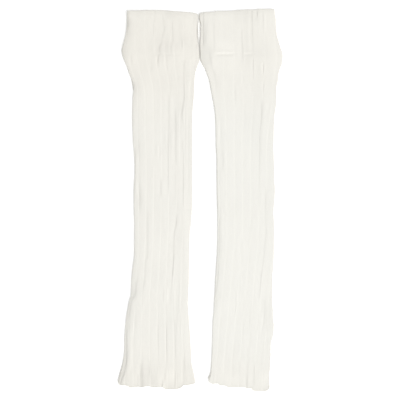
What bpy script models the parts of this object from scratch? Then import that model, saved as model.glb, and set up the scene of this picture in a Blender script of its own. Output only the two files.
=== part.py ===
"""Pair of wide-rib knitted leg warmers, laid flat side by side.

The row frame has X across the pair, Y along the legs with the cuffs at +Y, and Z up from the surface
that the pair lies on. Each leg warmer is a flattened knitted tube with eight raised ribs across its
front. The cuff at its upper end is the same cloth turned in, so a second tube, the facing, lies
inside the first one. All tables and sizes are in millimetres.
"""

import bpy
import bmesh
import numpy as np

MM = 0.001

# Cloth
LENGTH = 670.0           # upper edge of the cuffs to the lowest point of the hems
CLOTH = 1.8              # wall in the grooves between ribs
RIB_RISE = 0.9           # how far a rib stands out of that wall
RIBS_ACROSS = 8          # on the front, from one side fold to the other
RIB_SHOULDERS = (0.24, 0.76)   # where a rib's flat top starts and ends, in parts of its width

# Cuff
CUFF_DEPTH = 78.0        # upper edge to the sewn edge of the turned-in cloth
FACING_CLOTH = 1.3       # the turned-in cloth, pressed flat
SEAM_GAP = 0.3           # between the leg and its facing
CUFF_STEP = 8.0          # run over which the cuff's extra thickness falls away below that edge

# How thick the tube lies, measured over its grooves
LEG_THICKNESS = 6.0
CUFF_THICKNESS = 8.0
LEAST_GAP = 0.4          # the front never sinks nearer than this to the back

# The slant of an upper edge or a hem fades out over this length of the leg
EDGE_REACH = 70.0

# Rows of points along the leg: close together at the cuff and at the hem, wide between
CUFF_ROWS = (0, 5, 15, 30, 46, 62, 73, 78, 83, 88, 96, 106, 118, 131)
LEG_ROWS = (146, 606, 22)
HEM_ROWS = (621, 636, 648, 657, 664, LENGTH)

# Points across the back, in parts of its width: two round each side fold and two on the flat
BACK_POINTS = (0.025, 0.056, 0.37, 0.63, 0.944, 0.975)

CLOTH_COLOUR = (0.87, 0.855, 0.80, 1.0)
FACING_COLOUR = (0.84, 0.825, 0.77, 1.0)
CLOTH_ROUGHNESS = 0.92


def table(columns, *rows):
    """A table whose columns are read by name."""
    return np.array([*rows], dtype=[(name, float) for name in columns.split()])


# Side outlines: X of the left and right sides at a distance down from the upper edge
LEFT_SIDES = table(
    "down left right",
    (0, -129.0, -4.0),
    (24, -129.2, -4.2),
    (42, -130.5, -4.7),
    (56, -133.8, -3.4),
    (73, -137.4, -0.1),
    (84, -135.8, 0.2),
    (95, -132.3, -0.8),
    (105, -127.4, -5.4),
    (126, -119.9, -8.8),
    (141, -117.5, -8.9),
    (189, -118.5, -12.4),
    (231, -117.5, -12.4),
    (266, -115.0, -12.4),
    (350, -116.4, -13.2),
    (400, -115.0, -17.3),
    (430, -115.7, -17.7),
    (472, -120.1, -18.4),
    (514, -125.3, -20.0),
    (546, -130.8, -17.8),
    (577, -132.4, -15.6),
    (598, -132.6, -14.4),
    (619, -135.8, -13.5),
    (640, -141.8, -9.8),
    (655, -145.4, -7.0),
)
RIGHT_SIDES = table(
    "down left right",
    (0, 2.2, 131.6),
    (24, 0.9, 133.6),
    (42, 0.6, 134.9),
    (56, 0.9, 138.8),
    (73, 0.7, 144.6),
    (84, 0.8, 145.4),
    (95, 1.6, 144.2),
    (105, 7.7, 140.7),
    (126, 15.8, 137.6),
    (141, 17.6, 135.3),
    (160, 21.9, 134.4),
    (189, 26.8, 131.8),
    (241, 27.3, 129.5),
    (315, 28.9, 132.1),
    (350, 30.2, 130.8),
    (430, 29.3, 130.0),
    (472, 26.8, 127.8),
    (525, 23.6, 128.3),
    (546, 21.9, 130.0),
    (567, 21.7, 129.0),
    (588, 20.7, 125.1),
    (609, 20.0, 124.2),
    (630, 17.9, 123.7),
    (647, 12.6, 123.2),
)

# Upper edges and hems: how far the edge lies in from the end of the pair, at a fraction of the
# width counted from the left side
LEFT_UPPER_EDGE = table(
    "across inward",
    (0.0, 8.0),
    (0.027, 3.7),
    (0.08, 2.8),
    (0.25, 2.1),
    (0.48, 2.4),
    (0.66, 3.5),
    (0.82, 5.2),
    (0.93, 7.2),
    (1.0, 10.5),
)
RIGHT_UPPER_EDGE = table(
    "across inward",
    (0.0, 9.6),
    (0.10, 5.6),
    (0.26, 3.5),
    (0.48, 1.9),
    (0.73, 1.1),
    (0.78, 0.1),
    (0.96, 0.0),
    (1.0, 4.5),
)
LEFT_HEM = table(
    "across inward",
    (0.0, 19.0),
    (0.038, 12.3),
    (0.15, 8.9),
    (0.40, 8.8),
    (0.56, 9.4),
    (0.60, 6.5),
    (0.64, 3.4),
    (0.70, 1.2),
    (0.76, 2.9),
    (0.82, 6.8),
    (0.86, 8.6),
    (0.95, 11.8),
    (1.0, 15.8),
)
RIGHT_HEM = table(
    "across inward",
    (0.0, 23.6),
    (0.04, 15.5),
    (0.12, 12.0),
    (0.21, 10.6),
    (0.34, 8.2),
    (0.47, 7.0),
    (0.63, 6.8),
    (0.71, 4.6),
    (0.76, 1.6),
    (0.88, 0.0),
    (0.97, 2.0),
    (1.0, 8.5),
)

# Largest folds of each front: a soft trough, or a ridge where its rise is above zero, along a straight
# run from one point to another. across is a fraction of the width from the left side, and half_width
# is the distance at which the rise has fallen to about a third.
FOLD_COLUMNS = "across down across_end down_end half_width rise"
LEFT_FOLDS = table(
    FOLD_COLUMNS,
    (0.05, 14, 0.05, 46, 4.0, -1.0),
    (0.54, 28, 0.525, 54, 3.5, -0.9),
    (0.525, 54, 0.464, 94, 4.5, -1.0),
    (0.65, 21, 0.65, 40, 3.5, -0.8),
    (0.40, 66, 0.43, 80, 4.0, 0.6),
    (0.81, 96, 0.85, 150, 4.5, -1.9),
    (0.85, 150, 0.83, 205, 4.5, -1.9),
    (0.90, 100, 0.92, 190, 6.0, 0.9),
    (0.60, 155, 0.594, 320, 4.5, -1.4),
    (0.728, 182, 0.72, 335, 4.5, -1.5),
    (0.845, 238, 0.845, 345, 4.0, -1.0),
    (0.12, 232, 0.13, 305, 4.0, -0.9),
    (0.13, 305, 0.14, 350, 4.5, -1.7),
    (0.255, 352, 0.233, 500, 4.0, -1.5),
    (0.725, 390, 0.74, 520, 4.5, -1.9),
    (0.125, 486, 0.065, 512, 4.0, -1.5),
    (0.06, 512, 0.06, 640, 4.0, -1.7),
    (0.64, 558, 0.64, 625, 4.0, -1.2),
    (0.31, 618, 0.32, 668, 4.5, -1.9),
    (0.77, 558, 0.75, 668, 4.5, -1.7),
    (0.885, 610, 0.87, 662, 4.5, -1.5),
)
RIGHT_FOLDS = table(
    FOLD_COLUMNS,
    (0.06, 12, 0.07, 92, 4.0, -1.0),
    (0.135, 80, 0.145, 116, 4.0, -1.2),
    (0.55, 38, 0.515, 94, 4.0, -0.9),
    (0.69, 8, 0.665, 62, 4.0, -1.0),
    (0.665, 62, 0.66, 124, 4.5, -1.4),
    (0.785, 168, 0.76, 262, 4.5, -1.7),
    (0.76, 262, 0.745, 348, 4.0, -0.9),
    (0.145, 245, 0.145, 280, 4.5, -1.1),
    (0.855, 322, 0.85, 408, 4.5, -1.8),
    (0.85, 408, 0.79, 506, 4.0, -1.1),
    (0.055, 364, 0.06, 490, 4.5, -1.5),
    (0.61, 366, 0.58, 440, 4.0, -0.8),
    (0.875, 508, 0.84, 572, 4.5, -1.2),
    (0.84, 572, 0.86, 627, 4.0, -1.0),
    (0.62, 494, 0.62, 566, 4.0, -0.9),
    (0.62, 566, 0.635, 668, 4.5, -1.7),
    (0.745, 625, 0.745, 668, 4.5, -1.6),
)


def curve(along, table_along, values):
    """A smooth curve through a table's points that never swings past them.

    Each piece is a cubic Hermite curve. The slope at a point is the harmonic mean of the slopes on its
    two sides, or 0 where they have opposite signs.
    """
    steps = np.diff(table_along)
    slopes = np.diff(values) / steps
    before, after = slopes[:-1], slopes[1:]
    same_way = before * after > 0
    mean = np.where(same_way, 2 * before * after / np.where(same_way, before + after, 1), 0)
    tangents = np.concatenate([slopes[:1], mean, slopes[-1:]])
    along = np.clip(along, table_along[0], table_along[-1])
    piece = np.clip(np.searchsorted(table_along, along) - 1, 0, len(steps) - 1)
    t = (along - table_along[piece]) / steps[piece]
    rise = values[piece + 1] - values[piece]
    start = tangents[piece] * steps[piece]
    end = tangents[piece + 1] * steps[piece]
    return values[piece] + t * (start + t * (3 * rise - 2 * start - end + t * (start + end - 2 * rise)))


def ease(t):
    """0 at or below 0 and 1 at or above 1, with a smooth step between."""
    t = np.clip(t, 0, 1)
    return t * t * (3 - 2 * t)


def fold_rise(folds, across, down, width):
    """Sum of the folds: each has a bell-shaped section, and fades past the ends of its run."""
    total = np.zeros(np.broadcast_shapes(across.shape, down.shape))
    for fold in folds:
        run = fold["down_end"] - fold["down"]
        progress = np.clip((down - fold["down"]) / run, 0, 1)
        centre = fold["across"] + progress * (fold["across_end"] - fold["across"])
        sideways = (across - centre) * width / fold["half_width"]
        past_end = np.maximum(fold["down"] - down, 0) + np.maximum(down - fold["down_end"], 0)
        total += fold["rise"] * np.exp(-sideways ** 2 - (past_end / (2 * fold["half_width"])) ** 2)
    return total


def rib_section():
    """Round the tube: the points' place on the front or back, and their rib height.

    The front runs from the left side fold to the right one, with a groove and two shoulders for each
    rib, and the back runs on to the left again, plain, because it lies flat.
    """
    ribs = np.arange(RIBS_ACROSS)[:, None]
    front = ((ribs + np.array((0, *RIB_SHOULDERS))) / RIBS_ACROSS).ravel()
    heights = np.tile((0, RIB_RISE, RIB_RISE), RIBS_ACROSS)
    back = 1 - np.array(BACK_POINTS)
    across = np.concatenate([front, [1.0], back])
    rib = np.concatenate([heights, [0.0], np.zeros(len(back))])
    on_front = np.arange(len(across)) <= len(front)
    return across, rib, on_front


def tube_surface(leg, rows, inset, ribbed):
    """Points of one face of a flattened tube, as an array of rows x points round the tube x XYZ.

    The tube's section is a flat strip with half-round side folds. With e the distance round from the
    nearer side, r half the thickness and angle = e / r up to a quarter turn, a point lies
    r - (r - inset) cos(angle) in from the side, plus what e runs past the quarter turn, and
    (r - inset) sin(angle) above or below the middle.
    """
    across, rib, on_front = rib_section()
    down_row = np.array(rows, float)[:, None]
    at_upper = 1 - ease(down_row / EDGE_REACH)
    at_hem = 1 - ease((LENGTH - down_row) / EDGE_REACH)

    def down_at(fraction):
        upper = curve(fraction, leg["upper"]["across"], leg["upper"]["inward"])
        hem = curve(fraction, leg["hem"]["across"], leg["hem"]["inward"])
        return down_row + at_upper * upper - at_hem * hem

    sides = leg["sides"]
    left = curve(down_at(np.zeros(1)), sides["down"], sides["left"])
    right = curve(down_at(np.ones(1)), sides["down"], sides["right"])

    past_cuff = ease((down_row - CUFF_DEPTH) / CUFF_STEP)
    thickness = CUFF_THICKNESS + (LEG_THICKNESS - CUFF_THICKNESS) * past_cuff
    layers = 2 * CLOTH + 2 * (SEAM_GAP + FACING_CLOTH) * (1 - past_cuff)
    radius = thickness / 2
    quarter = np.pi / 2 * radius
    half_round = right - left - 2 * radius + 2 * quarter
    from_left = across * half_round
    from_side = np.minimum(from_left, half_round - from_left)
    angle = np.minimum(from_side / radius, np.pi / 2)
    offset = radius - inset + (rib if ribbed else 0)
    inward = radius - offset * np.cos(angle) + np.maximum(from_side - quarter, 0)
    x = np.where(from_left < half_round / 2, left + inward, right - inward)

    down = down_at(across)
    lift = fold_rise(leg["folds"], across, down, right - left)
    lift = np.maximum(lift, layers + LEAST_GAP - thickness)
    z = radius + np.where(on_front, offset + lift, -offset) * np.sin(angle)
    y = LENGTH / 2 - down
    return np.stack([x, y, z], axis=-1) * MM


def wall_between(name, outer, inner):
    """Closed mesh of the wall between two faces of a tube, with a rim at each end."""
    rows, points = outer.shape[:2]
    ids = np.arange(2 * rows * points).reshape(2, rows, points)
    outside, inside = ids[0], ids[1]

    def strips(near, far):
        """Two triangles for each step round the tube, between two rings, cut along the same way."""
        near_next, far_next = np.roll(near, -1, axis=-1), np.roll(far, -1, axis=-1)
        first = np.stack([near, near_next, far_next], axis=-1).reshape(-1, 3)
        second = np.stack([near, far_next, far], axis=-1).reshape(-1, 3)
        return np.concatenate([first, second])

    faces = np.concatenate([
        strips(outside[:-1], outside[1:]),
        strips(inside[:-1], inside[1:])[:, ::-1],
        strips(inside[0], outside[0]),
        strips(outside[-1], inside[-1]),
    ])
    mesh = bpy.data.meshes.new(name)
    mesh.from_pydata(np.concatenate([outer, inner]).reshape(-1, 3).tolist(), [], faces.tolist())
    whole = bmesh.new()
    whole.from_mesh(mesh)
    bmesh.ops.recalc_face_normals(whole, faces=whole.faces)
    whole.to_mesh(mesh)
    whole.free()
    mesh.shade_smooth()
    mesh.set_sharp_from_angle(angle=np.radians(50))
    return mesh


def cloth_material(name, colour):
    """Matt knitted cloth."""
    material = bpy.data.materials.new(name)
    material.use_nodes = True
    shader = material.node_tree.nodes["Principled BSDF"]
    shader.inputs["Base Color"].default_value = colour
    shader.inputs["Roughness"].default_value = CLOTH_ROUGHNESS
    shader.inputs["Metallic"].default_value = 0.0
    return material


def add_piece(name, mesh, material, pair, collection):
    """Object for one sewn piece, held by the empty that stands for the whole pair."""
    piece = bpy.data.objects.new(name, mesh)
    piece.data.materials.append(material)
    piece.parent = pair
    collection.objects.link(piece)


def build():
    for old in list(bpy.data.objects):
        bpy.data.objects.remove(old)
    collection = bpy.data.collections.new("leg_warmers")
    bpy.context.scene.collection.children.link(collection)
    pair = bpy.data.objects.new("pair", None)
    collection.objects.link(pair)
    cloth = cloth_material("rib_knit", CLOTH_COLOUR)
    turned_cloth = cloth_material("cuff_facing", FACING_COLOUR)

    legs = {
        "left": dict(sides=LEFT_SIDES, upper=LEFT_UPPER_EDGE, hem=LEFT_HEM, folds=LEFT_FOLDS),
        "right": dict(sides=RIGHT_SIDES, upper=RIGHT_UPPER_EDGE, hem=RIGHT_HEM, folds=RIGHT_FOLDS),
    }
    leg_rows = [*CUFF_ROWS, *range(*LEG_ROWS), *HEM_ROWS]
    facing_rows = [row for row in CUFF_ROWS if row <= CUFF_DEPTH]
    facing_outside = CLOTH + SEAM_GAP
    facing_inside = facing_outside + FACING_CLOTH
    for side, leg in legs.items():
        tube = wall_between(f"{side}_leg",
                            tube_surface(leg, leg_rows, 0.0, ribbed=True),
                            tube_surface(leg, leg_rows, CLOTH, ribbed=False))
        add_piece(f"{side}_leg", tube, cloth, pair, collection)
        facing = wall_between(f"{side}_cuff_facing",
                              tube_surface(leg, facing_rows, facing_outside, ribbed=False),
                              tube_surface(leg, facing_rows, facing_inside, ribbed=False))
        add_piece(f"{side}_cuff_facing", facing, turned_cloth, pair, collection)


if __name__ == "__main__":
    build()
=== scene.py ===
"""Pair of wide-rib knitted leg warmers, laid flat side by side on a pale studio floor.

X runs across the pair to the right, Y along the legs with the cuffs at +Y, and Z up from the floor.
"Down" is the distance from the upper edge of the cuffs towards the hems. Tables and lengths are in
millimetres unless a name or a property says otherwise.
"""

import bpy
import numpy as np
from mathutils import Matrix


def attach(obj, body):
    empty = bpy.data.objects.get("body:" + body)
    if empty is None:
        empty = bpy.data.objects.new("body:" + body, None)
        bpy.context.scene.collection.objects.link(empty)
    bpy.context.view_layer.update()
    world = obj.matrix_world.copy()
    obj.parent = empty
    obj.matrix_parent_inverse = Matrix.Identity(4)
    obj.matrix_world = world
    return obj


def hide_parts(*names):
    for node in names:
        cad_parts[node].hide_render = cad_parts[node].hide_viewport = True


bl_info = {
    "name": "Rib-knit leg warmers",
    "version": (1, 0, 0),
    "blender": (4, 5, 0),
    "location": "View3D > Sidebar > Leg warmers",
    "description": "Builds a pair of ribbed leg warmers, laid flat, with a studio floor, lights and camera",
    "category": "Add Mesh",
}

from bpy.props import EnumProperty, FloatProperty, FloatVectorProperty, PointerProperty

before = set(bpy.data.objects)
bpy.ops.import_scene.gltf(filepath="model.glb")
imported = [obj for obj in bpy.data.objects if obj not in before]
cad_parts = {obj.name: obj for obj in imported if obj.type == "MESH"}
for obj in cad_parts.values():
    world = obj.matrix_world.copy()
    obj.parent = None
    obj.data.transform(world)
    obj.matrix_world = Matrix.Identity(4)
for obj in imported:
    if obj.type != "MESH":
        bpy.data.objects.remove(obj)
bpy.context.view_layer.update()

MM = 0.001

# Cloth, as in the solids
LENGTH = 670.0           # upper edge of the cuffs to the lowest point of the hems
CLOTH = 1.8              # wall in the grooves between ribs
RIB_RISE = 0.9           # how far a rib stands out of that wall
RIBS_ROUND = 16          # ribs all round a leg, eight of them on the front
CUFF_DEPTH = 78.0        # upper edge to the sewn edge of the turned-in cloth
FACING_CLOTH = 1.3       # the turned-in cloth, pressed flat
SEAM_GAP = 0.3           # between the leg and its facing
LEG_THICKNESS = 6.0
CUFF_THICKNESS = 8.0
EDGE_REACH = 70.0        # the slant of an upper edge or a hem fades out over this length

# Finer than the solids
GROOVE_WIDTH = 0.09      # half a groove's width, as a part of a rib's
GROOVE_UNEVEN = 0.6      # how much a groove's depth varies along it
GROOVE_AT_LEFT = 0.6     # its depth at a leg's left side, as a part of the mean one
GROOVE_GAIN_RIGHT = 0.8  # what that part gains by the right side
GROOVE_AT_CUFF = 0.8     # the same part at the cuff
GROOVE_GAIN_HEM = 0.7    # and what it gains by the hem
HEM_RUN = (480, 600)     # how far down that gain starts and ends
RIB_CROWN = 0.1          # how far a rib's middle stands above its shoulders, as a part of its rise
CUFF_STEP = 50.0         # run over which the cuff's extra thickness falls away
LEAST_GAP = 0.3          # between the front and back layers under the deepest crease
UNDERSIDE_GROOVE = 0.6   # depth of the grooves in the pressed underside
UNDERSIDE_CREASE = 0.5   # most that a crease lifts the underside
FOLD_OVER = 0.2          # part of a rib's height that stays where it goes round a side fold
SIDE_SQUEEZE = 0.4       # a side fold's width as a part of a half round's
SIDE_WANDER = 0.5        # how far ribs stray sideways
WANDER_RUN = (32, 55)    # over what lengths they do, across and down
LEFT_INSET = 1.2         # how far a left side lies inside its table
RIGHT_INSET = -0.8       # the same for a right side
UPPER_INSET = 0.8        # and for an upper edge
CALM_REACH = 40.0        # ribs take the sides' bends averaged over this length each way
CALM_FROM = 26.0         # and do so fully from this far in
UPPER_ROLL = 1.2         # how far the front falls at the cuff's upper edge
UPPER_ROLL_REACH = 5.0   # from how far down
ROLL_POWER = 1.5         # how abruptly a side's roll ends at its reach
ROLL_SPAN = 0.9          # part of the leg's width over which its rise fades out
UNEVEN_HEIGHT = 0.22     # soft unevenness of the cloth as it lies
UNEVEN_RUN = (16, 48)    # over what lengths, across and down
NOISE_SHIFT = 20         # keeps the soft noise's columns above 0 at the pair's left side
HEM_CURL = 0.7           # how far the hem's edge turns up
HEM_CURL_REACH = 5.0     # from how far above it
HEM_SCALLOP = 0.8        # how far the hem draws in at each groove
HEM_POWER = 8            # keeps scallops and nicks close to the hem's edge
NICK_DEPTH = 3.0         # how far a pleat draws the hem in
NICK_WIDTH = 1.2         # half its width
CREASE_FADE = 14.0       # run over which a crease comes and goes
CREASE_UNEVEN = 0.4      # how much its depth varies on the way
CREASE_RUN = 18.0        # over what length it does

# Stitches
WALES_PER_RIB = 8        # six on the raised rib and two in the groove
COURSE = 1.45            # height of a row of stitches
GAP_SHADE = (0.1, 0.6)   # between these heights of the stitches, the shade of a gap fades out
FIBRE_RELIEF = 0.25      # height of the fibres, as a part of a stitch's
FIBRE_GLOSS = 0.12       # how much they vary the roughness
PARTING = 10.0           # the left leg's painted shade fades out over this distance each way from the middle
CUFF_SHADE_RUN = (90, 220)    # how far down the cuff's painted shade starts and stops fading
HEM_SHADE_RUN = (560, 660)    # how far down the painted shade towards the hem starts and is full
YARN = 0.95              # thickness of the yarn in the hem's chain
CHAIN_WALES = 1.25       # length of a chain's stitch, in wales
CHAIN_UP = 1.3           # how far the chain lies above the hem's edge
CHAIN_SLANT = 1.1        # how far a stitch slants down
CHAIN_SINK = 0.35        # how deep its ends lie in the cloth
CHAIN_ARCH = 0.3         # how far its middle stands out, as a part of the yarn's thickness

# Grid of points: places round a leg that come to the front somewhere, the columns for each rib there
# and elsewhere, and the distances down at which the spacing of the rows changes
FRONT_TURNS = (-1.2, 9.2)
FRONT_COLUMNS = 28
BACK_COLUMNS = 10
ROW_BREAKS = (10, 70, 92, 640)

# Stage, in metres
FLOOR_HALF = 4.0
FLOOR_LEVEL = -0.0002    # just under the cloth
KEY_SIZE = 10.5
KEY_PLACE = (6.9, -6.0, 14.7)
CLOTH_LEVEL = 0.004      # height at which the framed width is measured
CAMERA_X = 0.0012
CAMERA_REACH = 20.0


def spaced(places, counts):
    """Evenly spaced values from each place to the next, with a count of steps for each stretch."""
    stretches = [np.linspace(start, end, count, endpoint=False)
                 for start, end, count in zip(places, places[1:], counts)]
    return np.concatenate([*stretches, places[-1:]])


def table(columns, *rows):
    """A table whose columns are read by name."""
    return np.array([*rows], dtype=[(name, float) for name in columns.split()])


def crease(step, width, reach, *points):
    """A crease along a path of (down, x) points, where the cloth steps up to the right.

    It steps down instead where step is below zero. width is half the step's own width, and the cloth
    is level again at the reach on both sides.
    """
    return {"step": step, "width": width, "reach": reach, "path": table("down x", *points)}


# Side outlines: X of the left and right sides at a distance down from the upper edge
LEFT_SIDES = table(
    "down left right",
    (0, -128.2, -2.4),
    (14, -128.2, -2.4),
    (22, -128.2, -2.6),
    (30, -128.3, -3.1),
    (47, -130.4, -3.1),
    (56, -133.0, -2.6),
    (65, -135.7, -1.8),
    (75, -137.4, -0.9),
    (84, -135.6, -0.5),
    (95, -131.3, -1.6),
    (105, -127.1, -5.7),
    (115, -124.0, -7.8),
    (126, -119.2, -8.8),
    (135, -115.8, -8.9),
    (142, -116.2, -9.2),
    (157, -118.0, -10.0),
    (189, -118.6, -12.4),
    (231, -117.3, -12.4),
    (266, -114.8, -12.4),
    (290, -114.6, -12.5),
    (314, -116.1, -12.6),
    (350, -115.9, -13.2),
    (377, -114.9, -15.0),
    (395, -115.0, -17.0),
    (430, -115.3, -17.6),
    (452, -118.0, -18.1),
    (472, -120.0, -18.6),
    (485, -120.3, -18.9),
    (500, -120.7, -19.8),
    (514, -124.8, -20.4),
    (546, -130.0, -18.3),
    (577, -132.3, -16.1),
    (598, -132.6, -15.0),
    (619, -135.5, -14.0),
    (640, -141.3, -9.8),
    (655, -144.9, -7.0),
)
RIGHT_SIDES = table(
    "down left right",
    (0, -1.6, 131.2),
    (12, -1.6, 131.6),
    (21, -1.4, 133.6),
    (27, 1.0, 133.6),
    (49, 0.9, 135.8),
    (56, -0.3, 138.2),
    (65, -0.8, 140.4),
    (75, -0.2, 144.2),
    (84, 0.0, 145.6),
    (95, 2.6, 144.8),
    (105, 8.4, 141.1),
    (115, 12.0, 138.1),
    (126, 15.7, 137.3),
    (137, 17.8, 134.3),
    (147, 19.5, 134.5),
    (160, 22.1, 134.6),
    (189, 26.4, 131.0),
    (215, 27.3, 129.8),
    (241, 27.7, 129.5),
    (262, 28.9, 129.9),
    (277, 28.9, 131.2),
    (298, 29.0, 131.0),
    (316, 29.1, 132.1),
    (337, 29.8, 131.4),
    (356, 30.3, 129.4),
    (384, 30.7, 131.0),
    (414, 30.2, 130.9),
    (430, 29.5, 130.5),
    (455, 28.0, 128.9),
    (472, 26.8, 127.1),
    (512, 24.8, 127.2),
    (527, 24.0, 128.3),
    (537, 23.4, 128.6),
    (556, 21.9, 130.4),
    (570, 21.8, 129.6),
    (588, 21.4, 125.0),
    (609, 20.4, 124.6),
    (630, 18.9, 123.4),
    (638, 17.5, 122.6),
    (644, 15.0, 122.6),
    (650, 12.2, 122.6),
)

# Upper edges and hems: how far the edge lies in from the end of the pair, at a fraction of the
# width counted from the left side
LEFT_UPPER_EDGE = table(
    "across inward",
    (0.0, 8.6),
    (0.027, 4.2),
    (0.08, 3.4),
    (0.17, 3.4),
    (0.25, 2.9),
    (0.34, 2.6),
    (0.48, 2.5),
    (0.6, 3.3),
    (0.66, 3.9),
    (0.82, 5.4),
    (0.93, 7.5),
    (1.0, 11.5),
)
RIGHT_UPPER_EDGE = table(
    "across inward",
    (0.0, 9.6),
    (0.1, 6.0),
    (0.21, 5.2),
    (0.24, 4.2),
    (0.34, 3.8),
    (0.46, 3.0),
    (0.54, 1.8),
    (0.62, 1.0),
    (0.74, 0.8),
    (0.77, -0.4),
    (0.96, -0.4),
    (1.0, 4.0),
)
LEFT_HEM = table(
    "across inward",
    (0.0, 19.4),
    (0.03, 13.5),
    (0.06, 11.0),
    (0.13, 10.6),
    (0.18, 7.3),
    (0.21, 7.6),
    (0.28, 8.6),
    (0.32, 7.6),
    (0.36, 9.4),
    (0.41, 9.7),
    (0.44, 8.3),
    (0.54, 8.0),
    (0.58, 6.6),
    (0.625, 3.5),
    (0.74, 3.8),
    (0.79, 5.2),
    (0.82, 7.3),
    (0.845, 10.6),
    (0.88, 10.8),
    (0.93, 12.3),
    (1.0, 15.0),
)
RIGHT_HEM = table(
    "across inward",
    (0.0, 24.0),
    (0.045, 16.0),
    (0.11, 13.0),
    (0.18, 13.7),
    (0.205, 10.4),
    (0.3, 9.7),
    (0.335, 7.6),
    (0.585, 7.6),
    (0.615, 5.6),
    (0.69, 5.8),
    (0.708, 1.6),
    (0.78, 0.6),
    (0.88, 0.5),
    (0.94, 1.9),
    (0.97, 6.4),
    (1.0, 8.5),
)

# How the ribs run over the sides: the groove's number at the left and right sides, which need not be
# whole because a rib can lie half over a fold
LEFT_RIBS = table(
    "down left right",
    (3, 0.6, 8.8),
    (94, 0.4, 8.6),
    (150, 0.0, 8.2),
    (511, 0.0, 8.2),
    (532, -0.3, 8.2),
    (576, -0.45, 8.2),
    (660, -1.0, 8.23),
)
RIGHT_RIBS = table(
    "down left right",
    (3, -0.45, 7.25),
    (80, -0.45, 7.6),
    (117, 0.0, 7.6),
    (152, 0.4, 7.6),
    (250, 0.4, 8.1),
    (380, 0.4, 8.2),
    (590, 0.9, 9.1),
)

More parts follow.
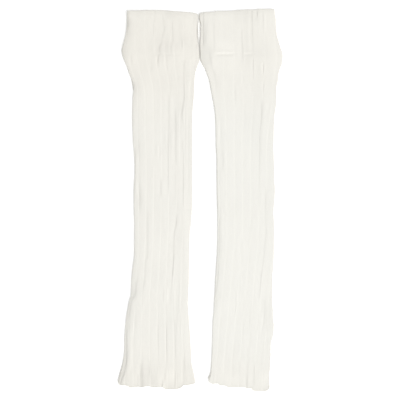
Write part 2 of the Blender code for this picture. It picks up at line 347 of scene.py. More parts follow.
# Creases of the fronts, each with its step, half width, reach and path. Its place in the list settles
# how uneven it is, so a new crease goes at the end.
LEFT_CREASES = [
    crease(3.0, 2.0, 6.0, (8, -124.8), (36, -125.2)),
    crease(4.6, 0.7, 3.0, (28, -3.4), (48, -3.3), (60, -1.9)),
    crease(0.6, 1.2, 4.0, (8, -2.6), (25, -2.8)),
    crease(0.7, 0.9, 5.2, (4, -77.3), (18, -77.6), (30, -79.6), (47, -79.6)),
    crease(1.0, 1.4, 6.0, (12, -63.4), (24, -62.2), (36, -61.4), (46, -62.8), (54, -64.0)),
    crease(1.6, 1.9, 6.0, (60, -64.9), (70, -69.4), (80, -68.0)),
    crease(1.6, 1.5, 5.0, (84, -71.1), (98, -72.6)),
    crease(0.8, 1.1, 5.2, (20, -46.6), (42, -46.0), (62, -45.4)),
    crease(-0.45, 1.2, 4.0, (20, -53.4), (44, -53.4)),
    crease(-0.6, 1.2, 3.2, (54, -51.8), (78, -51.6)),
    crease(0.8, 1.2, 4.7, (64, -49.3), (80, -49.1)),
    crease(1.5, 0.9, 3.6, (59, -30.4), (69, -30.0)),
    crease(-0.6, 1.2, 3.6, (70, -78.6), (78, -78.2)),
    crease(-1.5, 1.2, 3.6, (87, -74.8), (100, -74.8)),
    crease(-0.9, 1.2, 3.6, (81, -60.8), (102, -60.8)),
    crease(0.5, 0.9, 3.6, (95, -55.9), (108, -55.9)),
    crease(0.8, 1.1, 4.3, (95, -83.0), (108, -83.2)),
    crease(-0.4, 1.2, 3.6, (100, -87.2), (112, -87.2)),
    crease(1.1, 0.9, 5.2, (84, -118.5), (98, -117.5)),
    crease(-0.7, 1.2, 6.0, (88, -124.0), (103, -119.5), (122, -113.5)),
    crease(1.15, 1.2, 6.7, (92, -26.5), (154, -26.5), (189, -30.3), (208, -27.5)),
    crease(-0.65, 1.2, 8.0, (92, -15.2), (124, -15.4), (142, -17.4), (190, -17.8)),
    crease(0.2, 1.0, 4.0, (133, -51.0), (146, -50.5)),
    crease(1.1, 1.1, 5.9, (150, -52.7), (219, -53.2), (244, -54.0), (323, -54.0)),
    crease(0.45, 1.0, 4.5, (130, -39.8), (178, -39.0)),
    crease(1.5, 1.1, 6.3, (178, -41.4), (194, -40.7), (252, -40.6), (272, -40.3)),
    crease(-0.5, 1.0, 3.5, (176, -33.5), (192, -34.7), (276, -34.9)),
    crease(0.8, 1.2, 6.3, (284, -40.8), (330, -40.8)),
    crease(0.8, 1.0, 5.2, (234, -29.4), (250, -29.4)),
    crease(0.8, 1.0, 5.2, (270, -27.8), (349, -27.9)),
    crease(1.4, 0.8, 3.0, (250, -111.8), (305, -111.9)),
    crease(0.85, 0.8, 3.0, (305, -113.4), (350, -113.4)),
    crease(0.5, 1.2, 5.9, (234, -105.9), (300, -104.0)),
    crease(0.6, 1.4, 6.7, (300, -104.9), (330, -103.5), (354, -104.7)),
    crease(-1.3, 1.2, 4.8, (307, -108.2), (328, -108.2)),
    crease(0.65, 1.3, 6.3, (357, -90.0), (432, -90.2), (446, -94.4), (474, -94.7), (492, -99.0)),
    crease(1.5, 1.5, 5.9, (300, -66.8), (328, -66.8)),
    crease(-1.2, 1.2, 3.6, (240, -71.6), (259, -71.6)),
    crease(1.3, 1.2, 6.3, (364, -39.9), (375, -40.3), (392, -43.0), (412, -44.2), (434, -44.2),
           (455, -46.0), (472, -47.0)),
    crease(0.9, 0.9, 3.5, (426, -44.2), (450, -45.4), (468, -46.3)),
    crease(0.75, 1.1, 5.0, (474, -47.2), (500, -49.3), (516, -49.9)),
    crease(0.55, 0.9, 3.0, (484, -46.2), (526, -46.6)),
    crease(-0.6, 0.9, 3.5, (486, -42.4), (545, -42.8)),
    crease(0.5, 0.9, 4.0, (472, -35.0), (495, -35.3), (543, -37.8)),
    crease(1.1, 1.0, 4.0, (492, -62.3), (512, -62.0)),
    crease(-0.9, 1.2, 4.8, (492, -55.2), (512, -55.0)),
    crease(1.5, 1.2, 6.0, (478, -111.2), (486, -110.6), (496, -110.6), (504, -113.6), (512, -118.2),
           (524, -120.7), (534, -121.6)),
    crease(-0.6, 1.2, 8.0, (536, -117.4), (570, -118.4), (618, -118.8), (640, -123.8)),
    crease(2.1, 1.3, 5.9, (560, -126.2), (612, -126.8), (634, -130.4), (656, -138.0)),
    crease(-1.0, 1.2, 3.2, (517, -96.6), (531, -96.6)),
    crease(1.2, 1.6, 6.3, (616, -100.2), (634, -100.8)),
    crease(3.4, 2.6, 6.3, (634, -100.8), (674, -100.8)),
    crease(1.2, 1.0, 3.5, (634, -41.6), (662, -41.6)),
    crease(3.6, 0.8, 3.0, (654, -64.4), (676, -64.2)),
    crease(1.2, 2.0, 5.0, (642, -107.0), (664, -107.0)),
    crease(0.8, 1.0, 4.0, (620, -87.0), (642, -87.0)),
    crease(0.6, 1.1, 4.7, (556, -72.2), (634, -72.2)),
    crease(0.7, 0.9, 5.6, (556, -57.0), (625, -57.4), (650, -59.8)),
    crease(0.7, 1.2, 5.9, (552, -40.4), (572, -41.0), (600, -42.5), (630, -42.2), (670, -43.5)),
    crease(0.6, 1.2, 5.9, (606, -25.8), (662, -25.8)),
    crease(-0.5, 0.8, 3.0, (560, -59.0), (620, -59.2)),
    crease(-0.4, 1.0, 3.5, (46, -50.0), (60, -50.0)),
    crease(-0.6, 1.0, 3.5, (46, -7.2), (66, -7.0)),
    crease(-0.6, 1.0, 4.0, (68, -127.0), (88, -126.8)),
    crease(-0.35, 1.0, 4.0, (110, -112.0), (130, -112.0)),
    crease(-0.4, 1.0, 4.0, (170, -111.8), (214, -112.0)),
    crease(0.5, 1.0, 3.5, (134, -24.6), (242, -25.6), (262, -27.8), (280, -26.4), (318, -26.4)),
    crease(-0.4, 1.0, 3.5, (166, -21.2), (320, -21.4)),
    crease(-0.4, 1.0, 3.5, (150, -59.0), (172, -59.0)),
    crease(-0.6, 1.0, 3.5, (214, -57.2), (234, -57.2)),
    crease(0.5, 1.0, 3.5, (214, -50.4), (234, -50.4)),
    crease(-0.5, 1.0, 3.5, (214, -45.2), (234, -45.4), (256, -47.0)),
    crease(0.45, 1.0, 4.0, (216, -107.6), (236, -105.6), (252, -105.0)),
    crease(-0.9, 1.0, 3.5, (258, -106.8), (276, -106.8)),
    crease(-0.5, 1.0, 3.5, (320, -106.2), (358, -106.2)),
    crease(0.4, 1.0, 3.5, (256, -80.0), (276, -80.0)),
    crease(-0.4, 1.0, 3.5, (360, -59.0), (382, -59.0)),
    crease(0.5, 1.0, 3.5, (360, -28.4), (384, -28.4)),
    crease(-0.3, 1.0, 3.5, (360, -33.0), (382, -33.0)),
    crease(0.5, 1.0, 3.5, (468, -108.0), (486, -108.0)),
    crease(-0.55, 1.0, 3.5, (468, -103.0), (486, -103.0)),
    crease(-0.45, 1.0, 3.5, (486, -70.0), (508, -70.0)),
    crease(0.5, 1.0, 3.5, (508, -89.0), (528, -89.0)),
    crease(-0.7, 1.0, 3.5, (530, -112.6), (550, -114.4), (568, -115.0)),
    crease(0.45, 1.0, 3.5, (550, -122.0), (570, -122.0)),
    crease(0.45, 1.0, 3.5, (530, -33.0), (572, -33.0)),
    crease(-0.4, 1.0, 3.5, (530, -29.2), (572, -29.2)),
    crease(0.45, 1.0, 3.5, (552, -101.6), (592, -102.8)),
    crease(0.4, 1.0, 3.5, (592, -89.0), (612, -89.0)),
    crease(-0.4, 1.0, 3.5, (570, -124.0), (592, -124.0)),
    crease(-0.7, 1.0, 3.5, (612, -31.0), (654, -31.0)),
    crease(0.6, 1.0, 3.5, (612, -28.0), (634, -27.0), (654, -26.2)),
    crease(0.4, 1.0, 3.5, (636, -98.0), (654, -98.0)),
    crease(-0.5, 1.0, 3.5, (636, -92.4), (654, -92.4)),
    crease(0.5, 1.0, 3.5, (636, -61.0), (654, -61.0)),
    crease(0.8, 1.0, 3.5, (636, -38.2), (654, -38.2)),
    crease(0.5, 1.0, 3.5, (636, -102.4), (654, -102.4)),
    crease(0.4, 1.0, 3.5, (636, -22.0), (654, -22.0)),
    crease(-0.4, 0.8, 3.0, (590, -45.0), (634, -45.0)),
]
RIGHT_CREASES = [
    crease(1.3, 0.9, 3.4, (4, 7.2), (66, 7.4)),
    crease(1.3, 4.0, 9.0, (26, 10.5), (64, 11.0)),
    crease(0.7, 2.6, 7.0, (66, 15.6), (100, 20.0)),
    crease(-0.16, 1.2, 2.8, (14, 3.9), (60, 3.9)),
    crease(-0.2, 1.2, 6.0, (14, 17.3), (74, 17.9)),
    crease(0.5, 1.0, 4.0, (26, 25.8), (78, 26.0)),
    crease(0.9, 1.4, 6.7, (78, 18.2), (98, 21.6), (112, 25.4), (124, 29.0)),
    crease(-0.38, 1.2, 6.4, (98, 14.4), (122, 20.8), (145, 27.8)),
    crease(1.1, 1.2, 5.6, (38, 74.6), (60, 74.6), (72, 75.8), (90, 76.0)),
    crease(-0.65, 1.2, 4.8, (8, 86.9), (76, 87.1)),
    crease(1.0, 0.9, 3.6, (4, 92.2), (20, 92.2)),
    crease(0.7, 1.3, 5.9, (18, 92.7), (56, 93.2), (78, 95.4)),
    crease(1.15, 0.9, 3.6, (90, 94.6), (124, 94.8)),
    crease(2.0, 0.9, 3.6, (4, 101.4), (14, 101.4)),
    crease(-0.3, 1.2, 4.0, (8, 106.4), (34, 106.4)),
    crease(0.5, 0.9, 3.6, (6, 111.8), (44, 112.0)),
    crease(-0.4, 1.2, 4.4, (8, 115.5), (42, 115.7)),
    crease(-0.7, 1.2, 3.2, (98, 109.4), (114, 109.4)),
    crease(1.5, 0.9, 3.6, (97, 112.4), (112, 112.4)),
    crease(1.1, 0.9, 3.6, (131, 112.4), (141, 112.4)),
    crease(-0.7, 1.2, 3.6, (120, 73.8), (134, 73.8)),
    crease(0.5, 1.1, 5.9, (138, 63.2), (168, 63.4)),
    crease(0.95, 1.2, 6.3, (164, 109.2), (196, 108.6), (215, 105.6), (262, 105.2)),
    crease(-0.4, 1.0, 4.0, (232, 105.4), (256, 105.2)),
    crease(0.55, 1.1, 5.6, (262, 104.6), (350, 103.8)),
    crease(0.4, 1.0, 4.7, (169, 122.4), (183, 122.4)),
    crease(-0.19, 1.2, 4.8, (177, 126.5), (206, 126.5)),
    crease(0.6, 1.3, 6.7, (242, 41.4), (281, 41.6)),
    crease(-0.9, 1.0, 4.0, (194, 34.8), (236, 34.8)),
    crease(-0.3, 1.2, 6.0, (244, 35.8), (262, 35.8)),
    crease(0.45, 1.0, 4.0, (280, 35.0), (318, 35.0)),
    crease(-0.3, 1.2, 3.6, (293, 85.5), (302, 85.5)),
    crease(0.9, 1.2, 6.7, (320, 116.4), (340, 116.3), (375, 116.5), (392, 117.0), (408, 115.4),
           (440, 112.6), (455, 110.6), (464, 108.8), (483, 107.2), (504, 105.2)),
    crease(-0.16, 1.2, 5.2, (478, 100.0), (511, 99.6)),
    crease(1.05, 1.0, 4.0, (366, 35.7), (392, 35.3), (424, 34.5), (446, 33.5), (481, 31.8), (502, 28.2)),
    crease(-0.45, 1.1, 4.5, (344, 39.5), (366, 41.6), (444, 41.6)),
    crease(0.15, 1.2, 4.7, (520, 27.2), (576, 25.2), (646, 17.0)),
    crease(0.36, 1.6, 6.3, (364, 92.0), (402, 87.8), (442, 87.4)),
    crease(0.5, 1.1, 4.3, (408, 73.8), (433, 73.8)),
    crease(0.7, 0.9, 3.6, (496, 63.6), (518, 64.0), (535, 62.4)),
    crease(0.4, 0.8, 3.0, (522, 59.0), (534, 58.8)),
    crease(0.6, 0.8, 3.0, (539, 88.2), (554, 88.0)),
    crease(0.6, 0.9, 3.5, (640, 82.6), (664, 82.4)),
    crease(0.5, 1.2, 5.6, (508, 115.2), (553, 112.6), (572, 109.6), (627, 109.2)),
    crease(0.5, 1.1, 5.6, (518, 90.4), (552, 90.2), (580, 88.2), (604, 85.8), (626, 84.6)),
    crease(0.8, 1.2, 5.9, (620, 84.0), (670, 83.0)),
    crease(1.0, 1.0, 5.6, (622, 96.2), (662, 96.0)),
    crease(0.6, 1.1, 4.3, (616, 69.8), (643, 69.6)),
    crease(0.2, 1.3, 5.2, (568, 60.0), (650, 59.6)),
    crease(0.1, 1.3, 5.2, (578, 48.2), (626, 48.0)),
    crease(0.3, 0.9, 3.6, (638, 119.0), (652, 119.0)),
    crease(-0.4, 1.0, 3.5, (6, 108.8), (24, 108.8)),
    crease(0.6, 1.0, 3.5, (46, 10.8), (66, 10.8)),
    crease(0.4, 1.0, 3.5, (108, 77.2), (130, 77.2)),
    crease(0.4, 1.0, 3.5, (130, 92.6), (150, 92.6)),
    crease(-0.4, 1.0, 3.5, (466, 73.8), (486, 73.8)),
    crease(0.5, 1.0, 4.0, (506, 78.8), (540, 77.2), (572, 75.6)),
    crease(0.5, 1.0, 3.5, (530, 105.0), (562, 102.4)),
    crease(-0.4, 1.0, 3.5, (530, 112.0), (546, 110.0), (562, 107.4)),
    crease(0.45, 1.0, 3.5, (530, 118.0), (570, 118.0)),
    crease(0.5, 1.0, 3.5, (570, 114.0), (592, 112.6), (654, 111.4)),
    crease(-0.5, 1.0, 3.5, (636, 105.4), (654, 105.4)),
    crease(0.5, 1.0, 3.5, (636, 24.6), (654, 24.6)),
    crease(-0.4, 1.0, 3.5, (508, 34.0), (528, 34.0)),
    crease(0.4, 1.0, 3.5, (592, 84.4), (612, 84.2)),
    crease(0.4, 1.0, 3.5, (636, 40.8), (654, 40.8)),
]

# Creases of the undersides, which lie on the floor and only lift off it a little
UNDERSIDE_FORM = (0.9, 1.4, 6.0)
LEFT_UNDERSIDE = [crease(*UNDERSIDE_FORM, *path) for path in (
    ((60, -98.0), (150, -96.0)),
    ((110, -44.0), (260, -46.0)),
    ((230, -84.0), (360, -82.0)),
    ((300, -34.0), (450, -36.0)),
    ((420, -70.0), (560, -74.0)),
    ((590, -112.0), (668, -118.0)),
    ((600, -50.0), (668, -48.0)),
)]
RIGHT_UNDERSIDE = [crease(*UNDERSIDE_FORM, *path) for path in (
    ((50, 40.0), (140, 44.0)),
    ((120, 96.0), (250, 94.0)),
    ((240, 58.0), (380, 60.0)),
    ((330, 104.0), (480, 100.0)),
    ((440, 50.0), (590, 46.0)),
    ((600, 74.0), (668, 76.0)),
)]

# How the front rolls up from its side folds: over what reach, how far up, and from how far below level
ROLL_COLUMNS = "down reach rise fall"
LEFT_ROLLS = {
    "left": table(
        ROLL_COLUMNS,
        (0, 4.5, 5.2, 1.0),
        (8, 5.0, 5.2, 1.0),
        (18, 8.0, 5.4, 1.0),
        (75, 8.0, 4.8, 1.0),
        (112, 6.0, 2.5, 0.5),
        (330, 6.0, 2.4, 0.5),
        (380, 5.0, 1.8, 0.5),
        (440, 5.0, 1.8, 0.5),
        (490, 8.0, 3.8, 0.8),
        (530, 9.0, 4.6, 1.0),
        (650, 9.0, 4.8, 1.2),
    ),
    "right": table(ROLL_COLUMNS, (0, 3.0, 0.2, 0.5), (75, 3.0, 0.2, 0.5), (110, 3.0, 0.0, 0.0),
                   (650, 3.0, 0.0, 0.0)),
}
RIGHT_ROLLS = {
    "left": table(
        ROLL_COLUMNS,
        (0, 12.0, 4.2, 0.6),
        (75, 12.0, 4.0, 0.6),
        (120, 5.0, 1.0, 0.2),
        (330, 5.0, 1.0, 0.2),
        (380, 9.0, 2.8, 0.4),
        (500, 9.0, 2.6, 0.4),
        (540, 5.0, 0.6, 0.0),
        (650, 4.0, 0.4, 0.0),
    ),
}

# Broad swells and the pull of the cuff's sewing: place, reach each way and rise
PATCH_COLUMNS = "x down half_x half_down rise"
LEFT_SWELLS = table(
    PATCH_COLUMNS,
    (-38.0, 80.0, 40.0, 18.0, 1.0),
    (-60.0, 80.5, 26.0, 1.8, -0.25),
    (-96.0, 82.0, 16.0, 16.0, 0.35),
    (-82.0, 658.0, 17.0, 21.0, 4.2),
    (-47.0, 668.0, 16.0, 8.0, 0.8),
)
RIGHT_SWELLS = table(
    PATCH_COLUMNS,
    (45.0, 80.6, 14.5, 2.2, -1.3),
    (45.0, 76.5, 14.5, 1.6, 0.5),
    (86.0, 80.6, 7.5, 2.4, -0.75),
    (86.0, 76.5, 6.5, 1.6, 0.3),
    (112.0, 80.2, 18.0, 2.2, -0.15),
    (60.0, 62.0, 24.0, 14.0, 0.35),
    (112.0, 92.0, 22.0, 20.0, 0.35),
)

# Soft patches of painted light and painted shade on the yarn, which stand in for the cloth's shading and
# for the contact shadow where the cuffs touch: place, reach each way and change of lightness in percent
LEFT_SHADE_PATCHES = table(
    PATCH_COLUMNS,
    (-50.0, 10.0, 9.0, 8.0, -3.5),
    # painted contact shadow where the two cuffs touch
    (-3.8, 42.0, 1.8, 15.0, -6.0),
    (-50.0, 64.0, 20.0, 8.0, -1.8),
    (-60.0, 48.0, 13.0, 34.0, -2.0),
    (-62.0, 82.0, 14.0, 16.0, -3.0),
    (-19.0, 30.0, 9.0, 26.0, 3.5),
    (-28.0, 76.0, 15.0, 9.0, 2.5),
    (-29.0, 54.0, 7.0, 10.0, -2.5),
    (-76.0, 72.0, 9.0, 26.0, -1.8),
    (-90.0, 98.0, 16.0, 13.0, -2.5),
    (-122.5, 29.0, 4.5, 13.0, -5.5),
    (-131.0, 84.0, 7.0, 16.0, -6.0),
    (-90.0, 150.0, 22.0, 32.0, 2.0),
    (-19.0, 138.0, 6.0, 14.0, 2.2),
    (-48.0, 162.0, 4.0, 15.0, 2.5),
    (-33.0, 178.0, 6.0, 14.0, -2.5),
    (-40.0, 204.0, 11.0, 24.0, -3.0),
    (-52.0, 236.0, 11.0, 22.0, -2.0),
    (-104.0, 245.0, 8.0, 20.0, -2.0),
    (-103.0, 336.0, 6.0, 22.0, -5.5),
    (-90.0, 375.0, 7.0, 28.0, -2.0),
    (-68.0, 420.0, 15.0, 30.0, 2.0),
    (-33.0, 385.0, 5.0, 26.0, -1.6),
    (-20.5, 408.0, 5.0, 80.0, 4.0),
    (-24.0, 545.0, 5.0, 58.0, 1.8),
    (-49.0, 396.0, 5.0, 18.0, 2.2),
    (-103.0, 490.0, 8.0, 13.0, -3.0),
    (-113.0, 500.0, 6.0, 10.0, -4.0),
    (-118.0, 530.0, 6.0, 22.0, -3.0),
    (-125.5, 608.0, 5.0, 24.0, -2.5),
    (-56.0, 560.0, 18.0, 34.0, -2.5),
    (-94.0, 560.0, 20.0, 40.0, -1.2),
    (-18.0, 596.0, 7.0, 44.0, 2.6),
    (-92.0, 632.0, 9.0, 12.0, -2.5),
    (-48.0, 640.0, 7.0, 10.0, 3.5),
    (-75.0, 656.0, 12.0, 8.0, -3.5),
    (-86.0, 661.0, 6.0, 6.0, 2.0),
    (-131.0, 643.0, 7.0, 8.0, -2.5),
)
RIGHT_SHADE_PATCHES = table(
    PATCH_COLUMNS,
    (10.0, 12.0, 6.0, 12.0, 1.5),
    (12.0, 88.0, 13.0, 24.0, -5.5),
    (9.0, 100.0, 8.0, 10.0, -3.0),
    (37.0, 404.0, 6.0, 22.0, -1.5),
    (84.0, 12.0, 26.0, 14.0, -4.2),
    (78.0, 90.0, 9.0, 14.0, -2.2),
    (106.0, 108.0, 7.0, 18.0, -1.6),
    (110.5, 176.0, 4.0, 27.0, -2.2),
    (79.5, 190.0, 4.0, 20.0, -1.8),
    (45.0, 131.0, 6.0, 12.0, 1.6),
    (90.5, 66.0, 2.5, 14.0, 3.0),
    (106.0, 225.0, 6.0, 42.0, -1.8),
    (86.0, 70.0, 14.0, 34.0, -3.0),
    (108.0, 76.0, 12.0, 12.0, -2.0),
    (122.0, 26.0, 8.0, 22.0, 2.8),
    (126.0, 56.0, 10.0, 16.0, 2.0),
    (44.0, 66.0, 14.0, 12.0, 3.0),
    (38.0, 116.0, 14.0, 22.0, -1.5),
    (100.0, 180.0, 11.0, 90.0, -2.0),
    (84.0, 200.0, 16.0, 34.0, -1.0),
    (120.0, 338.0, 6.0, 28.0, -2.0),
    (42.0, 395.0, 13.0, 60.0, 1.8),
    (119.0, 548.0, 7.0, 34.0, -3.6),
    (66.0, 595.0, 8.0, 10.0, -1.5),
    (32.0, 630.0, 18.0, 22.0, 3.2),
    (56.0, 652.0, 16.0, 12.0, 2.5),
    (117.0, 648.0, 8.0, 12.0, 4.5),
)

# The nicks are the X of each pleat that draws a hem in, and grooves is the mean depth of a leg's grooves
# as a part of its ribs' rise
LEGS = {
    "left": {
        "sides": LEFT_SIDES,
        "upper": LEFT_UPPER_EDGE,
        "hem": LEFT_HEM,
        "ribs": LEFT_RIBS,
        "creases": LEFT_CREASES,
        "underside": LEFT_UNDERSIDE,
        "swells": LEFT_SWELLS,
        "light_and_shade_patches": LEFT_SHADE_PATCHES,
        "rolls": LEFT_ROLLS,
        "nicks": (-64.4,),
        "grooves": 0.18,
        "seed": 11,
    },
    "right": {
        "sides": RIGHT_SIDES,
        "upper": RIGHT_UPPER_EDGE,
        "hem": RIGHT_HEM,
        "ribs": RIGHT_RIBS,
        "creases": RIGHT_CREASES,
        "underside": RIGHT_UNDERSIDE,
        "swells": RIGHT_SWELLS,
        "light_and_shade_patches": RIGHT_SHADE_PATCHES,
        "rolls": RIGHT_ROLLS,
        "nicks": (),
        "grooves": 0.1,
        "seed": 23,
    },
}


def curve(along, table_along, values):
    """A smooth curve through a table's points that never swings past them.

    Each piece is a cubic Hermite curve. The slope at a point is the harmonic mean of the slopes on its
    two sides, or 0 where they have opposite signs.
    """
    steps = np.diff(table_along)
    slopes = np.diff(values) / steps
    before, after = slopes[:-1], slopes[1:]
    same_way = before * after > 0
    mean = np.where(same_way, 2 * before * after / np.where(same_way, before + after, 1), 0)
    tangents = np.concatenate([slopes[:1], mean, slopes[-1:]])
    along = np.clip(along, table_along[0], table_along[-1])
    piece = np.clip(np.searchsorted(table_along, along) - 1, 0, len(steps) - 1)
    t = (along - table_along[piece]) / steps[piece]
    rise = values[piece + 1] - values[piece]
    start = tangents[piece] * steps[piece]
    end = tangents[piece + 1] * steps[piece]
    return values[piece] + t * (start + t * (3 * rise - 2 * start - end + t * (start + end - 2 * rise)))


def ease(t):
    """0 at or below 0 and 1 at or above 1, with a smooth step between."""
    t = np.clip(t, 0, 1)
    return t * t * (3 - 2 * t)


def soft_noise(x, y, seed):
    """A smooth random height between -1 and 1: random values at whole numbers, eased between them."""
    size = 64
    heights = np.random.default_rng(seed).uniform(-1, 1, (size, size))
    column, row = np.floor(x).astype(int), np.floor(y).astype(int)
    right, below = ease(x - column), ease(y - row)

    def corner(step_x, step_y):
        return heights[(column + step_x) % size, (row + step_y) % size]

    upper = corner(0, 0) * (1 - right) + corner(1, 0) * right
    lower = corner(0, 1) * (1 - right) + corner(1, 1) * right
    return upper * (1 - below) + lower * below


def crease_rise(creases, x, down, seed):
    """Sum of the creases, which ease in and out at their ends and are uneven in between.

    With d the distance to the right of a crease's path, w its width and r its reach, it rises by half
    the step times d / sqrt(d^2 + w^2) times exp(-(d / r)^2).
    """
    noise_apart = 5.3
    total = np.zeros(np.broadcast_shapes(x.shape, down.shape))
    for number, fold in enumerate(creases):
        path = fold["path"]
        sideways = x - curve(down, path["down"], path["x"])
        begun = ease((down - path["down"][0]) / CREASE_FADE + 0.5)
        left_to_go = ease((path["down"][-1] - down) / CREASE_FADE + 0.5)
        strength = 1 + CREASE_UNEVEN * soft_noise(number * noise_apart, down / CREASE_RUN, seed)
        across = sideways / np.hypot(sideways, fold["width"]) * np.exp(-(sideways / fold["reach"]) ** 2)
        total += fold["step"] / 2 * strength * across * begun * left_to_go
    return total


def bells(rows, x, down):
    """Sum of bell-shaped patches, each with its own reach along X and down.

    With s and d the distances from a patch's middle as parts of its two reaches, it adds its rise times
    exp(-s^4 - d^2).
    """
    total = np.zeros(np.broadcast_shapes(x.shape, down.shape))
    for row in rows:
        sideways = (x - row["x"]) / row["half_x"]
        along = (down - row["down"]) / row["half_down"]
        total += row["rise"] * np.exp(-sideways ** 4 - along ** 2)
    return total


def rib_height(turn, row, grooves, seed):
    """Part of a rib's full height at a place round the leg, counted in ribs.

    There is a groove at each whole number, deeper in some places than in others. With p the place from
    one groove to the next and g the distance from the nearer one, the height is 1 less the crown, plus
    the crown times sin(pi p), less the groove's depth times exp(-(g / w)^2), where w is its half width.
    grooves is the mean depth of a groove, as a part of the rib's height.
    """
    noise_apart, noise_run = 1.7, 70
    place = turn % 1.0
    from_groove = np.minimum(place, 1 - place)
    uneven = soft_noise(np.round(turn) % RIBS_ROUND * noise_apart, row / noise_run, seed)
    depth = grooves * (1 + GROOVE_UNEVEN * uneven)
    crown = 1 - RIB_CROWN + RIB_CROWN * np.sin(np.pi * place)
    return crown - depth * np.exp(-(from_groove / GROOVE_WIDTH) ** 2)


def front_lift(leg, x, down, row, across, width):
    """How far the front's cloth lies above or below level, apart from its ribs.

    It is the sum of the creases, the swells, a soft unevenness, the hem's curl up and the cuff's fall at
    its upper edge, which are both bells exp(-(d / reach)^2) of the distance d from the edge, and each
    side's roll. With s the distance from a side, the roll is its rise less the sum of its rise and its
    fall times exp(-(s / reach)^1.5), and fades out across the leg.
    """
    seed = leg["seed"]
    lift = crease_rise(leg["creases"], x, down, seed + 3) + bells(leg["swells"], x, down)
    down_shift = 3
    uneven = soft_noise(x / UNEVEN_RUN[0] + NOISE_SHIFT, down / UNEVEN_RUN[1] + down_shift, seed + 1)
    lift = lift + UNEVEN_HEIGHT * uneven
    lift = lift + HEM_CURL * np.exp(-((LENGTH - row) / HEM_CURL_REACH) ** 2)
    lift = lift - UPPER_ROLL * np.exp(-(row / UPPER_ROLL_REACH) ** 2)
    for side, roll in leg["rolls"].items():
        away = across if side == "left" else 1 - across
        reach, rise, fall = (curve(row, roll["down"], roll[column]) for column in ("reach", "rise", "fall"))
        distance = np.maximum(away * width, 0)
        shape = rise - (rise + fall) * np.exp(-(distance / reach) ** ROLL_POWER)
        lift = lift + shape * (1 - ease(away / ROLL_SPAN))
    return lift


def side_line(sides, side, down):
    """X of a side at a distance down, and the mean of its X over CALM_REACH each way."""
    steps = np.linspace(-CALM_REACH, CALM_REACH, 7)
    calm = sum(curve(down + step, sides["down"], sides[side]) for step in steps) / len(steps)
    return curve(down, sides["down"], sides[side]), calm


def cloth_point(leg, turn, row, inset, ribbed):
    """Points of the knitted tube as X, Y and Z, for any arrays that broadcast together.

    turn is the place round the leg in ribs, row the distance down before the ends' slant, inset the depth
    below the outer face and ribbed the share of the ribs' height that shows there. The tube's section is
    a flat strip with rounded side folds. With e the distance round from the nearer side, r half the
    thickness and angle = e / r up to a quarter turn, a point lies SIDE_SQUEEZE times
    r - (r - inset) cos(angle) in from the side, plus what e runs past the quarter turn, and
    (r - inset) sin(angle) above or below the middle. Away from the sides, x then leaves their bends for
    the mean of the bends around, so that ribs run calmly. The hem draws in at its grooves and nicks.
    Ribs and the front's lift raise the front, grooves and a few creases raise the underside off the
    floor, and the front sinks no nearer to the underside than the layers inside allow.
    """
    at_upper = 1 - ease(row / EDGE_REACH)
    at_hem = 1 - ease((LENGTH - row) / EDGE_REACH)
    past_cuff = ease((row - CUFF_DEPTH) / CUFF_STEP)

    ribs = leg["ribs"]
    first = curve(row, ribs["down"], ribs["left"])
    on_front = curve(row, ribs["down"], ribs["right"]) - first
    turned = (turn - first) % RIBS_ROUND
    front = turned <= on_front
    across = np.where(front, turned / on_front, (RIBS_ROUND - turned) / (RIBS_ROUND - on_front))

    def down_at(fraction):
        upper = curve(fraction, leg["upper"]["across"], leg["upper"]["inward"])
        hem = curve(fraction, leg["hem"]["across"], leg["hem"]["inward"])
        return row + at_upper * (upper + UPPER_INSET) - at_hem * hem

    left, calm_left = side_line(leg["sides"], "left", down_at(np.zeros(1)))
    right, calm_right = side_line(leg["sides"], "right", down_at(np.ones(1)))
    left = left + LEFT_INSET
    right = right - RIGHT_INSET

    thickness = CUFF_THICKNESS + (LEG_THICKNESS - CUFF_THICKNESS) * past_cuff
    layers = 2 * CLOTH + 2 * (SEAM_GAP + FACING_CLOTH) * (1 - past_cuff)
    radius = thickness / 2
    quarter = np.pi / 2 * radius
    half_round = right - left - 2 * SIDE_SQUEEZE * radius + 2 * quarter
    from_left = across * half_round
    from_side = np.minimum(from_left, half_round - from_left)
    angle = np.minimum(from_side / radius, np.pi / 2)

    hem_start, hem_end = HEM_RUN
    near_hem = ease((row - hem_start) / (hem_end - hem_start))
    grooves = (leg["grooves"] * (GROOVE_AT_LEFT + GROOVE_GAIN_RIGHT * across)
               * (GROOVE_AT_CUFF + GROOVE_GAIN_HEM * near_hem))
    height = rib_height(turn, row, grooves, leg["seed"] + 2)
    rib = RIB_RISE * height * ribbed
    side_bulge = FOLD_OVER * rib * np.cos(angle)
    rounded = SIDE_SQUEEZE * (radius - (radius - inset + side_bulge) * np.cos(angle))
    inward = rounded + np.maximum(from_side - quarter, 0)
    x = np.where(from_left < half_round / 2, left + inward, right - inward)
    calmed = (calm_left - left) * (1 - across) + (calm_right - right) * across
    x = x + calmed * ease(from_side / CALM_FROM)
    front_shift = 9
    noise_x = x / WANDER_RUN[0] + NOISE_SHIFT + front_shift * front
    wander = soft_noise(noise_x, row / WANDER_RUN[1], leg["seed"])
    x = x + SIDE_WANDER * np.sin(angle) * wander

    down = down_at(across)
    groove = 1 - height
    at_edge = at_hem ** HEM_POWER
    down = down - at_edge * HEM_SCALLOP * groove
    for nick in leg["nicks"]:
        down = down - at_edge * NICK_DEPTH * np.exp(-((x - nick) / NICK_WIDTH) ** 2) * front

    lift = front_lift(leg, x, down, row, across, right - left)
    room = thickness - layers - LEAST_GAP - UNDERSIDE_CREASE * past_cuff
    lift = np.where(lift < 0, -room * np.tanh(-lift / room), lift)

    pressed = UNDERSIDE_GROOVE * groove * ribbed
    under = crease_rise(leg["underside"], x, down, leg["seed"] + 4)
    pressed = pressed + np.clip(under, 0, UNDERSIDE_CREASE) * past_cuff
    above = radius - inset + rib + lift
    below = radius - inset - pressed
    z = radius + np.where(front, above, -below) * np.sin(angle)
    y = LENGTH / 2 - down
    return np.stack(np.broadcast_arrays(x, y, z), axis=-1) * MM


